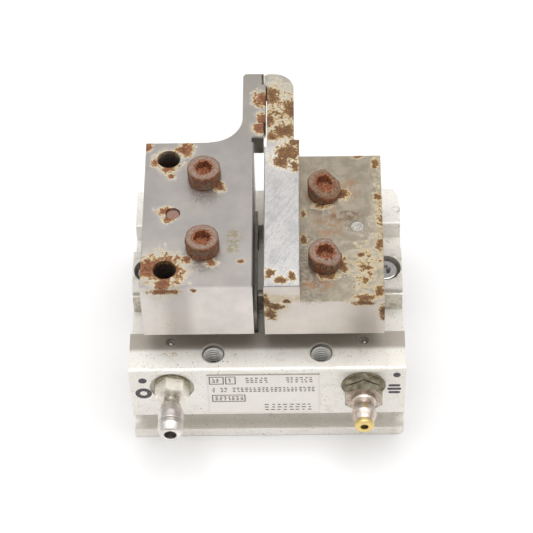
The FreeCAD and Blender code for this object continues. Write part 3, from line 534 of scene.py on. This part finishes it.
def rail_steel():
    s = Shade("rail_steel")
    color, rough, _ = ground_steel(s, (0.90, 0.865, 0.80), (0.78, 0.745, 0.68), 0.36)
    low, high = corners("guide_rail")
    # Lower side faces of the rail darkened: painted shade, made uneven as soil.
    side = s.step(s.axis("Z"), high.z - 1.5, high.z - 0.9, 1.0, 0.0)
    soil_and_shade = s.step(s.noise(0.9, 5, 0.7, seed=83), 0.40, 0.62, 0.25, 0.75)
    color = s.mix(s.math("MULTIPLY", side, soil_and_shade), color, (0.36, 0.33, 0.25))
    ends = s.spots([(x, (low.y + high.y) / 2, high.z, 4.6, 4.0, 9.0) for x in (low.x + 1.5, high.x - 1.5)])
    grime = s.math("MULTIPLY", s.step(ends, 0.25, 0.50), s.step(s.noise(1.7, 4, 0.7, seed=84), 0.45, 0.65))
    color = s.mix(s.math("MULTIPLY", grime, 0.5), color, (0.34, 0.28, 0.18))
    color = s.mix(s.math("MULTIPLY", grains(s, 0.50, 81, 0.5), 0.7), color, (0.22, 0.19, 0.13))
    return s.finish(color, rough, s.blend(side, 0.45, 0.7))


def plain_metal(name, light, dark, rough, scale=0.7, metal=1.0, stretch=(1, 1, 1)):
    """Machined metal with a fine cut, light stains and a little dirt."""
    s = Shade(name)
    cut = s.noise(scale * 6, 3, 0.6, stretch=stretch, seed=91)
    cloud = s.noise(scale, 5, 0.65, seed=92)
    color = s.mix(s.step(cloud, 0.35, 0.65), dark, light)
    color = s.mix(s.math("MULTIPLY", grains(s, 0.42, 93, 0.5), 0.6), color, tuple(0.4 * c for c in dark))
    s.bump(cut, 0.01)
    return s.finish(color, s.blend(cut, rough - 0.05, rough + 0.1), metal)


def finger_under_holes():
    s = Shade("finger_steel_left")
    cloud = s.noise(0.9, 5, 0.65, seed=95)
    color = s.mix(s.step(cloud, 0.35, 0.65), (0.30, 0.285, 0.25), (0.46, 0.44, 0.40))
    under = s.step(s.spots([(TOOL_X, y, 0, 3, 3, 1e6) for y in (-TOOL_Y, TOOL_Y)]), 0.30, 0.40)
    color = s.mix(under, color, (0.03, 0.018, 0.013))
    s.bump(s.noise(4, 3, 0.6, seed=96), 0.01)
    return s.finish(color, s.blend(cloud, 0.38, 0.55), s.blend(under, 1.0, 0.0))


def bright_fitting():
    s = Shade("bright_fitting")
    rings = s.noise(1.0, 2, 0.5, stretch=(0.3, 11, 0.3), seed=101)
    cloud = s.noise(0.8, 5, 0.7, seed=102)
    color = s.mix(s.step(cloud, 0.35, 0.7), (0.84, 0.80, 0.76), (0.66, 0.61, 0.56))
    along = s.axis("Y")
    neck = s.step(along, FRONT - 4.2, FRONT - 3.5)
    neck = s.math("MULTIPLY", neck, s.step(along, FRONT - 2.0, FRONT - 1.9, 1.0, 0.0))
    neck = s.math("MULTIPLY", neck, s.step(s.noise(1.5, 4, seed=103), 0.35, 0.6))
    color = s.mix(s.math("MULTIPLY", neck, 0.60), color, (0.30, 0.25, 0.14))
    hexagon = s.step(along, FRONT - 2.0, FRONT - 1.9)
    color = s.mix(hexagon, color, s.mix(s.step(cloud, 0.4, 0.7), (0.93, 0.89, 0.81), (0.74, 0.70, 0.60)))
    groove = s.spots([(LEFT_PORT.x, FRONT - 6.0, LEFT_PORT.z, 9.0, 0.16, 9.0)])
    color = s.mix(s.math("MULTIPLY", s.step(groove, 0.1, 0.7), 0.4), color, (0.30, 0.27, 0.23))
    s.bump(s.step(groove, 0.0, 0.8, 1.0, 0.0), 0.06)
    s.bump(rings, 0.008)
    s.bump(s.noise(3.0, 4, 0.6, seed=104), 0.015)
    return s.finish(color, s.blend(cloud, 0.30, 0.48), s.blend(hexagon, 1.0, 0.6))


def worn_fitting():
    s = Shade("worn_fitting")
    along = s.axis("Y")
    cloud = s.noise(1.1, 6, 0.72, seed=111)
    fine = s.noise(3.6, 5, 0.7, seed=112)
    nickel = s.mix(s.step(cloud, 0.35, 0.62), (0.60, 0.50, 0.42), (0.80, 0.73, 0.66))
    nickel = s.mix(s.math("MULTIPLY", s.step(fine, 0.50, 0.66), 0.6), nickel, (0.34, 0.25, 0.14))
    hexagon = s.step(along, FRONT - 2.50, FRONT - 2.38)
    dirty = s.mix(s.step(cloud, 0.36, 0.64), (0.235, 0.205, 0.145), (0.440, 0.405, 0.310))
    dirty = s.mix(s.math("MULTIPLY", s.step(fine, 0.58, 0.72), 0.6), dirty, (0.30, 0.15, 0.08))
    seam = s.spots([(RIGHT_PORT.x, FRONT - 1.25, RIGHT_PORT.z, 9, 0.22, 9)])
    dirty = s.mix(s.math("MULTIPLY", s.step(seam, 0.1, 0.6), 0.8), dirty, (0.07, 0.05, 0.04))
    color = s.mix(hexagon, nickel, dirty)
    x, y, z = RIGHT_PORT.x, RIGHT_TIP_Y, RIGHT_PORT.z
    # Painted shade with some soil: the waist and the ring just past the hex are darkened.
    waist = s.spots([(x, FRONT - 3.65, z, 9, 0.8, 9), (x, FRONT - 2.6, z, 9, 0.35, 9)])
    waist_soil_and_shade = s.math("MULTIPLY", s.step(waist, 0.2, 0.8), s.step(fine, 0.40, 0.60, 0.30, 0.8))
    color = s.mix(waist_soil_and_shade, color, (0.29, 0.20, 0.15))
    streak = s.step(s.spots([(x + 0.25, y + 2.5, z + 1.5, 0.35, 0.75, 0.7)]), 0.1, 0.5)
    color = s.mix(s.math("MULTIPLY", streak, 0.7), color, (0.78, 0.56, 0.22))
    worn = s.math("ADD", along, s.math("MULTIPLY", s.math("SUBTRACT", cloud, 0.5), 0.5))
    brass = s.step(worn, y + 0.50, y + 0.72, 1.0, 0.0)
    color = s.mix(brass, color, s.mix(fine, (0.86, 0.66, 0.27), (0.70, 0.55, 0.24)))
    s.bump(fine, 0.02)
    s.bump(s.noise(12, 3, 0.6, seed=113), 0.006)
    metal = s.step(s.math("MULTIPLY", hexagon, cloud), 0.5, 0.8, 0.95, 0.3)
    return s.finish(color, s.blend(fine, 0.26, 0.58), metal)


def label_film():
    s = Shade("label_film")
    cloud = s.noise(0.4, 4, 0.6, seed=121)
    color = s.mix(cloud, (0.955, 0.910, 0.835), (0.980, 0.950, 0.895))
    width, height = LABEL_HIGH.x - LABEL_LOW.x, LABEL_HIGH.z - LABEL_LOW.z
    centre = (LABEL_LOW + LABEL_HIGH) / 2
    side = s.math("ABSOLUTE", s.math("SUBTRACT", s.axis("X"), centre.x))
    rise = s.math("ABSOLUTE", s.math("SUBTRACT", s.axis("Z"), centre.z))
    beside = s.step(side, width / 2 - 0.30, width / 2 - 0.12)
    edge = s.math("MAXIMUM", beside, s.step(rise, height / 2 - 0.30, height / 2 - 0.12))
    color = s.mix(s.math("MULTIPLY", edge, 0.18), color, (0.40, 0.36, 0.29))
    ridge = s.step(s.axis("Z"), LABEL_HIGH.z - 0.22, LABEL_HIGH.z - 0.10)
    color = s.mix(s.math("MULTIPLY", ridge, 0.7), color, (0.16, 0.13, 0.09))
    scuff = s.step(s.noise(1.1, 5, 0.7, stretch=(1.4, 1, 0.7), seed=122), 0.58, 0.74)
    color = s.mix(s.math("MULTIPLY", scuff, 0.22), color, (0.55, 0.50, 0.41))
    color = s.mix(s.math("MULTIPLY", grains(s, 0.30, 123, 0.6), 0.6), color, (0.32, 0.28, 0.22))
    s.bump(s.noise(1.8, 4, 0.6, seed=124), 0.015)
    return s.finish(color, s.blend(scuff, 0.38, 0.6), 0.0)


def ink(name, color, seed):
    s = Shade(name)
    wear = s.step(s.noise(3.4, 5, 0.7, seed=seed), 0.40, 0.66)
    return s.finish(s.mix(wear, color, tuple(c + 0.10 for c in color)), s.blend(wear, 0.5, 0.75), 0.0)


def soft(name, color, rough, seed):
    """Rubber or moulded plastic: even colour with a faint bloom and a moulded grain."""
    s = Shade(name)
    bloom = s.noise(0.8, 5, 0.6, seed=seed)
    light = tuple(min(1.0, 1.5 * c + 0.01) for c in color)
    s.bump(s.noise(7, 3, 0.6, seed=seed + 1), 0.01)
    tone = s.mix(s.step(bloom, 0.4, 0.75), color, light)
    return s.finish(tone, s.blend(bloom, rough - 0.06, rough + 0.08), 0.0)


def dirty_gasket():
    s = Shade("dirty_gasket")
    cloud = s.noise(1.6, 5, 0.7, seed=131)
    color = s.mix(s.step(cloud, 0.36, 0.64), (0.26, 0.225, 0.145), (0.47, 0.42, 0.30))
    s.bump(cloud, 0.03)
    return s.finish(color, s.blend(cloud, 0.55, 0.8), 0.0)


# ---------------------------------------------------------------- dress the CAD nodes
def paint(names, material):
    for name in names:
        for slot in nodes[name].material_slots:
            slot.material = material


SIDES = ("left", "right")
RUSTED = rusted_screws()
CAP_METAL = plain_metal("cap_metal", (0.72, 0.72, 0.70), (0.60, 0.60, 0.58), 0.40, 0.7, 0.8, (0.2, 6, 6))
THREAD_METAL = thread_metal()
DARK_STEEL = plain_metal("finger_steel", (0.46, 0.44, 0.40), (0.30, 0.29, 0.26), 0.42)
GEAR_STEEL = plain_metal("gear_steel", (0.58, 0.57, 0.55), (0.48, 0.47, 0.45), 0.35, stretch=(0.2, 5, 5))
POLISHED = plain_metal("polished_steel", (0.82, 0.81, 0.79), (0.70, 0.69, 0.66), 0.18)
SPRING = plain_metal("spring_steel", (0.26, 0.25, 0.24), (0.16, 0.155, 0.15), 0.45)
RUBBER = soft("seal_rubber", (0.022, 0.022, 0.024), 0.62, 141)
BROWN_RUBBER = soft("bumper_rubber", (0.15, 0.11, 0.06), 0.66, 145)
DARK_PLASTIC = soft("retainer_plastic", (0.055, 0.055, 0.052), 0.5, 149)

paint(["body", "base_plug"], anodised_body())
paint(["end_caps"], CAP_METAL)
paint(["guide_rail"], rail_steel())
paint(["finger_right", "drive_lug_left", "drive_lug_right"], DARK_STEEL)
paint(["finger_left"], finger_under_holes())
paint(["piston_front", "piston_rear", "pinion"], GEAR_STEEL)
paint(["ball_rows_left", "ball_rows_right", "passage_balls", "pinion_pin", "rail_screws"], POLISHED)
paint(["snap_rings", "piston_magnet"], SPRING)
paint(["piston_seals_front", "piston_seals_rear", "cap_seals"], RUBBER)
paint(["bumpers"], BROWN_RUBBER)
paint(["ball_retainers_left", "ball_retainers_right"], DARK_PLASTIC)
paint(["fitting_gaskets"], dirty_gasket())
paint(["port_fitting_left"], bright_fitting())
paint(["port_fitting_right"], worn_fitting())
paint(["jaw_left"], jaw_left_steel())
paint(["jaw_right"], jaw_right_steel())
DOWEL_LEFT = ((0.385, 0.240, 0.185), (0.270, 0.160, 0.120), (0.075, 0.034, 0.024))
DOWEL_RIGHT = ((0.640, 0.615, 0.570), (0.330, 0.300, 0.250), (0.300, 0.260, 0.210))
paint(["dowel_left"], dowel_steel("dowel_end_left", *DOWEL_LEFT, 161))
paint(["dowel_right"], dowel_steel("dowel_end_right", *DOWEL_RIGHT, 165))
paint(["label_plate"], label_film())


# ---------------------------------------------------------------- piece tools
def piece(name, points, faces, material, body, smooth=True):
    """Mesh piece from points in millimetres; it rides on body and takes its finish from material."""
    mesh = bpy.data.meshes.new(name)
    mesh.from_pydata([Vector(p) * MM for p in points], [], faces)
    mesh.validate()
    for polygon in mesh.polygons:
        polygon.use_smooth = smooth
    mesh.materials.append(material)
    made = bpy.data.objects.new(name, mesh)
    bpy.context.scene.collection.objects.link(made)
    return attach(made, body)


def ring_faces(rings, count, closed=False):
    """Quads between rings of count points each; closed joins the last ring to the first."""
    faces = []
    for j in range(rings if closed else rings - 1):
        a, b = j * count, (j + 1) % rings * count
        for i in range(count):
            k = (i + 1) % count
            faces.append((a + i, a + k, b + k, b + i))
    return faces


# ---------------------------------------------------------------- threads in the mounting holes
PITCH = 0.5
THREAD_DEPTH = 0.30
TURN = 40


def thread(name, x, y, major, top, depth):
    """Closed sleeve with a helical inner face."""
    rows_per_pitch = 8
    rows = int(depth / PITCH * rows_per_pitch)
    points = []
    for j in range(rows + 1):
        z = top - depth + depth * j / rows
        for i in range(TURN):
            phase = (z / PITCH - i / TURN) % 1.0
            crest = min(1.0, 1.15 * abs(2 * phase - 1))
            fade = min(1.0, (top - z) / 0.35)
            r = major - 0.03 - THREAD_DEPTH * crest * fade
            angle = 2 * math.pi * i / TURN
            points.append((x + r * math.cos(angle), y + r * math.sin(angle), z))
    for z in (top, top - depth):
        for i in range(TURN):
            angle = 2 * math.pi * i / TURN
            r = major - 0.005
            points.append((x + r * math.cos(angle), y + r * math.sin(angle), z))
    faces = [tuple(reversed(f)) for f in ring_faces(rows + 3, TURN, closed=True)]
    return piece(name, points, faces, THREAD_METAL, "base")


def threads():
    major = HOLES["hole_r_mm"]
    for row, y in (("front", -HOLES["spacing_y_mm"] / 2), ("rear", HOLES["spacing_y_mm"] / 2)):
        for side, x in zip(SIDES, (-HOLES["spacing_x_mm"] / 2, HOLES["spacing_x_mm"] / 2)):
            thread(f"thread_{row}_{side}", x, y, major, BODY_HIGH.z - 0.2, 5.5)


threads()


# ---------------------------------------------------------------- rusted screws
def copy_of(node, name):
    made = bpy.data.objects.new(name, nodes[node].data.copy())
    bpy.context.scene.collection.objects.link(made)
    return made


def cut_away(mesh, point, normal):
    """Removes what lies on normal's side of the plane and closes the cut."""
    bm = bmesh.new()
    bm.from_mesh(mesh)
    bmesh.ops.remove_doubles(bm, verts=bm.verts, dist=0.002 * MM)
    geom = bm.verts[:] + bm.edges[:] + bm.faces[:]
    found = bmesh.ops.bisect_plane(bm, geom=geom, dist=1e-7, plane_co=Vector(point) * MM,
                                   plane_no=Vector(normal), clear_outer=True)
    rim = [g for g in found["geom_cut"] if isinstance(g, bmesh.types.BMEdge)]
    bmesh.ops.holes_fill(bm, edges=rim)
    bm.to_mesh(mesh)
    bm.free()


def remeshed(made, voxel):
    modifier = made.modifiers.new("remesh", "REMESH")
    modifier.mode = "VOXEL"
    modifier.voxel_size = voxel * MM
    graph = bpy.context.evaluated_depsgraph_get()
    mesh = bpy.data.meshes.new_from_object(made.evaluated_get(graph))
    made.modifiers.clear()
    made.data = mesh
    return mesh


ALL_AXES = {"use_axis_x": True, "use_axis_y": True, "use_axis_z": True}


def eaten(mesh, seed, depth, ceiling):
    """Corrodes a mesh: broad dents, fine crust and rounded-off arrises."""
    bm = bmesh.new()
    bm.from_mesh(mesh)
    for _ in range(2):
        bmesh.ops.smooth_vert(bm, verts=bm.verts, factor=0.5, **ALL_AXES)
    bm.normal_update()
    shift = Vector((seed * 13.7, seed * 5.1, seed * 9.3))
    for v in bm.verts:
        p = v.co / MM + shift
        broad = noise.noise(p * 0.9)
        crust = noise.fractal(p * 3.2, 0.8, 2.1, 4)
        v.co += v.normal * (depth * (0.55 * broad + 0.45 * crust) - 0.25 * depth) * MM
        v.co.z = min(v.co.z, ceiling * MM)
    bm.to_mesh(mesh)
    bm.free()


def rusted_screw(node, body, seat, seed, cuts=()):
    """Stands for one jaw screw: corroded head, with any broken faces, on a plain shank."""
    head = copy_of(node, node.replace("jaw_screw", "screw_head"))
    cut_away(head.data, (0, 0, seat - 0.05), (0, 0, -1))
    for point, normal in cuts:
        cut_away(head.data, point, normal)
    mesh = remeshed(head, 0.075)
    eaten(mesh, seed, 0.11, corners(node)[1].z)
    shank = copy_of(node, "shank_cut")
    cut_away(shank.data, (0, 0, seat - 0.04), (0, 0, 1))
    bm = bmesh.new()
    bm.from_mesh(mesh)
    bm.from_mesh(shank.data)
    bm.to_mesh(mesh)
    bm.free()
    bpy.data.objects.remove(shank)
    for polygon in mesh.polygons:
        polygon.use_smooth = True
    mesh.materials.clear()
    mesh.materials.append(RUSTED)
    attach(head, body)
    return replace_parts(head, node)


def jaw_screws():
    rusted_screw("jaw_screw_left_front", "left_jaw", LEFT_HIGH.z, 1)
    rusted_screw("jaw_screw_left_rear", "left_jaw", LEFT_HIGH.z, 2)
    front, rear = middle("jaw_screw_right_front"), middle("jaw_screw_right_rear")
    top = corners("jaw_screw_right_rear")[1].z
    ground = [((front.x + 0.7, front.y - 0.5, top - 0.1), (0.46, -0.30, 0.83)),
              ((front.x + 1.5, front.y + 0.9, top - 0.5), (0.80, 0.35, 0.49))]
    rusted_screw("jaw_screw_right_front", "right_jaw", SEAT_RIGHT, 3, ground)
    broken = [((rear.x + 0.2, rear.y - 0.2, top - 0.35), (0.45, -0.33, 0.83)),
              ((rear.x + 1.3, rear.y + 1.3, top - 0.6), (0.66, 0.62, 0.42))]
    rusted_screw("jaw_screw_right_rear", "right_jaw", SEAT_RIGHT, 4, broken)


jaw_screws()


# ---------------------------------------------------------------- ink marks on the port face
MARK_LIFT = 0.02
INK_GREY = ink("mark_ink", (0.060, 0.045, 0.060), 151)
INK_BROWN = ink("label_ink", (0.120, 0.095, 0.080), 155)


def flat_shape(name, outline, hole, x, z, y, material):
    """Thin raised shape on the port face. outline and hole are closed lists of (x, z) round the middle."""
    count = len(outline)
    points = []
    for depth in (y, y - MARK_LIFT):
        for ring in (outline, hole) if hole else (outline,):
            points += [(x + a, depth, z + b) for a, b in ring]
    if hole:
        faces = ring_faces(1, 1)
        for i in range(count):
            k = (i + 1) % count
            inner, back, both = count, 2 * count, 3 * count
            faces += [(back + i, back + k, both + k, both + i), (i, inner + i, inner + k, k),
                      (i, k, back + k, back + i), (inner + k, inner + i, both + i, both + k)]
    else:
        faces = [tuple(range(count)), tuple(reversed(range(count, 2 * count)))]
        faces += [(i, count + i, count + (i + 1) % count, (i + 1) % count) for i in range(count)]
    return piece(name, points, faces, material, "base", smooth=False)


def circle(r, count=40):
    angles = [2 * math.pi * i / count for i in range(count)]
    return [(r * math.cos(a), r * math.sin(a)) for a in angles]


def bar(half_w, half_h, count=40):
    """Outline of a bar with round ends."""
    points = []
    for a, b in circle(half_h, count):
        points.append((a + math.copysign(half_w - half_h, a), b))
    return points


def marks():
    """Open and shut signs: a ring and a stack of bars, each under a dot."""
    left, right = BODY_LOW.x + 1.75, BODY_HIGH.x - 1.5
    flat_shape("open_ring", circle(1.12), circle(0.50), left, 10.1, FRONT, INK_GREY)
    flat_shape("open_dot", circle(0.55), None, left, 12.9, FRONT, INK_GREY)
    for i, half_w in enumerate((0.80, 0.95, 0.80)):
        z = 9.8 + 0.76 * i
        flat_shape(f"shut_bar_{i + 1}", bar(half_w, 0.24), None, right, z, FRONT, INK_GREY)
    flat_shape("shut_dot", circle(0.50), None, right + 0.3, 13.65, FRONT, INK_GREY)


marks()


# ---------------------------------------------------------------- printed lines on the label
LINE = 0.19          # stroke of a printed dash
FRAME_LINE = 0.14    # stroke of an empty frame


def label_lines():
    """Rows of short dashes in place of any print, and two empty frames."""
    rng = random.Random(5)
    left, top = LABEL_LOW.x, LABEL_HIGH.z
    face = LABEL_LOW.y - 0.006
    # each row: drop from the top edge, start, end, pitch of the dashes, height
    rows = (
        (1.25, 5.2, 8.3, 0.62, 1.10),
        (1.25, 10.6, 14.6, 0.62, 1.10),
        (3.35, 0.6, 14.6, 0.56, 0.95),
        (1.25, 0.75, 1.95, 0.50, 0.80),
        (1.25, 2.85, 3.55, 0.50, 0.80),
        (5.25, 1.0, 4.7, 0.56, 0.85),
        (7.35, 7.6, 14.6, 0.84, 1.35),
    )
    boxes = []
    for drop, start, end, pitch, tall in rows:
        for i in range(round((end - start) / pitch)):
            if rng.random() < 0.1:
                continue
            x = left + start + pitch * i
            for rise in (-0.5, 0.0, 0.5):
                width = pitch * rng.uniform(0.35, 0.72)
                shift = rng.uniform(0, 0.78 * pitch - width) if width < 0.78 * pitch else 0
                z = top - drop + rise * (tall - LINE)
                boxes.append((x + shift, x + shift + width, z - LINE / 2, z + LINE / 2))
    for drop, start, end, half in ((1.25, 0.3, 2.3, 0.85), (1.25, 2.5, 3.9, 0.85), (5.25, 0.6, 5.1, 0.78)):
        x0, x1 = left + start, left + end
        z0, z1 = top - drop - half, top - drop + half
        boxes += [(x0, x1, z0, z0 + FRAME_LINE), (x0, x1, z1 - FRAME_LINE, z1)]
        boxes += [(x0, x0 + FRAME_LINE, z0, z1), (x1 - FRAME_LINE, x1, z0, z1)]
    points, faces = [], []
    for x0, x1, z0, z1 in boxes:
        n = len(points)
        corner = ((x0, z0), (x1, z0), (x1, z1), (x0, z1))
        points += [(x, y, z) for y in (face, face - 0.01) for x, z in corner]
        faces += [(n, n + 3, n + 2, n + 1), (n + 4, n + 5, n + 6, n + 7)]
        faces += [(n + i, n + (i + 1) % 4, n + 4 + (i + 1) % 4, n + 4 + i) for i in range(4)]
    piece("label_dashes", points, faces, INK_BROWN, "base", smooth=False)


label_lines()


# ---------------------------------------------------------------- floor, light and camera
SKY = 0.42
SKY_FRONT = (0.80, 0.79, 0.78)
SKY_BACK = (0.98, 0.97, 0.98)
SOFTBOXES = (
    ("top", (0.0, 0.0, 0.80), (0.75, 0.55), 4.9),
    ("front", (0.0, -0.62, 0.62), (0.60, 0.20), 0.5),
    ("left", (-0.60, -0.05, 0.55), (0.35, 0.50), 0.8),
    ("right", (0.60, -0.05, 0.55), (0.35, 0.50), 0.8),
)


def look_at(obj, target):
    obj.rotation_euler = (Vector(target) - obj.location).to_track_quat("-Z", "Y").to_euler()


def softbox(name, place, size, power, tint=(1, 1, 1)):
    light = bpy.data.lights.new(name, "AREA")
    light.shape = "RECTANGLE"
    light.size, light.size_y = size
    light.energy = power
    light.color = tint
    made = bpy.data.objects.new(name, light)
    made.location = place
    bpy.context.scene.collection.objects.link(made)
    look_at(made, (0, 0, 0.015))


def studio():
    half = 3.0
    mesh = bpy.data.meshes.new("floor")
    points = [(-half, -half, 0), (half, -half, 0), (half, half, 0), (-half, half, 0)]
    mesh.from_pydata(points, [], [(0, 1, 2, 3)])
    floor = bpy.data.objects.new("floor", mesh)
    bpy.context.scene.collection.objects.link(floor)
    s = Shade("pale_floor")
    mesh.materials.append(s.finish((0.93, 0.925, 0.93), 0.7, 0.0))
    world = bpy.data.worlds.new("studio")
    world.use_nodes = True
    tree = world.node_tree
    background = tree.nodes["Background"]
    split = tree.nodes.new("ShaderNodeSeparateXYZ")
    ramp = tree.nodes.new("ShaderNodeValToRGB")
    tree.links.new(tree.nodes.new("ShaderNodeTexCoord").outputs["Generated"], split.inputs[0])
    tree.links.new(split.outputs["Y"], ramp.inputs[0])
    tree.links.new(ramp.outputs[0], background.inputs["Color"])
    ramp.color_ramp.elements[0].color = (*SKY_FRONT, 1)
    ramp.color_ramp.elements[1].color = (*SKY_BACK, 1)
    ramp.color_ramp.elements[1].position = 0.6
    background.inputs["Strength"].default_value = SKY
    bpy.context.scene.world = world
    for name, place, size, power in SOFTBOXES:
        softbox(name, place, size, power)
    view = bpy.context.scene.view_settings
    view.view_transform = "Standard"


AZIMUTH = math.radians(2.012)
ELEVATION = math.radians(50.577)
ROLL = math.radians(-2.229)
DISTANCE = 338.36
AIM = Vector((-0.362, 7.609, 8.0))
FOCAL = 161.37


def camera():
    back = Vector((math.sin(AZIMUTH) * math.cos(ELEVATION), -math.cos(AZIMUTH) * math.cos(ELEVATION),
                   math.sin(ELEVATION)))
    right = (-back).cross(Vector((0, 0, 1))).normalized()
    up = right.cross(-back)
    across = right * math.cos(ROLL) + up * math.sin(ROLL)
    above = up * math.cos(ROLL) - right * math.sin(ROLL)
    lens = bpy.data.cameras.new("camera")
    lens.lens = FOCAL
    lens.sensor_width = 36.0
    lens.clip_start = 0.01
    made = bpy.data.objects.new("camera", lens)
    turn = Matrix((across, above, back)).transposed().to_4x4()
    made.matrix_world = Matrix.Translation((AIM + back * DISTANCE) * MM) @ turn
    bpy.context.scene.collection.objects.link(made)
    bpy.context.scene.camera = made


studio()
camera()
